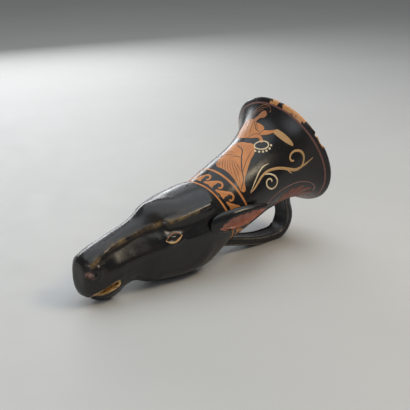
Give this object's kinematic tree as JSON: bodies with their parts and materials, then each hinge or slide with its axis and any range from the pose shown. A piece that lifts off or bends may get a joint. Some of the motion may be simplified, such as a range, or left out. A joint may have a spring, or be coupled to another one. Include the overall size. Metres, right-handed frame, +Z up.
{
  "type": "rhyton drinking cup",
  "caption": "Horn-like drinking cup of black-slipped pottery: a flared bowl on a moulded long-eared animal head, with a strap handle under it.",
  "frame": {"origin": "on the table, below the middle of the pot's box", "axes": "+Z up, +X from the nose towards the mouth of the bowl, mirror plane Y = 0"},
  "size_m": [0.2228, 0.097, 0.1185],
  "materials": {
    "black_slip": "glossy black slip",
    "painted_black_slip": "glossy black slip with reserved orange figures",
    "handle_black_slip": "glossy black slip",
    "ear_slip": "black slip outside, red clay in the hollow",
    "bare_clay": "matt fired clay"
  },
  "bodies": {
    "root": {"head_left_half": "black_slip", "head_right_half": "black_slip", "bowl": "painted_black_slip", "strap_handle": "handle_black_slip", "left_ear": "ear_slip", "right_ear": "ear_slip", "crown_seam_strip": "bare_clay", "throat_seam_strip": "bare_clay"}
  },
  "joints": []
}
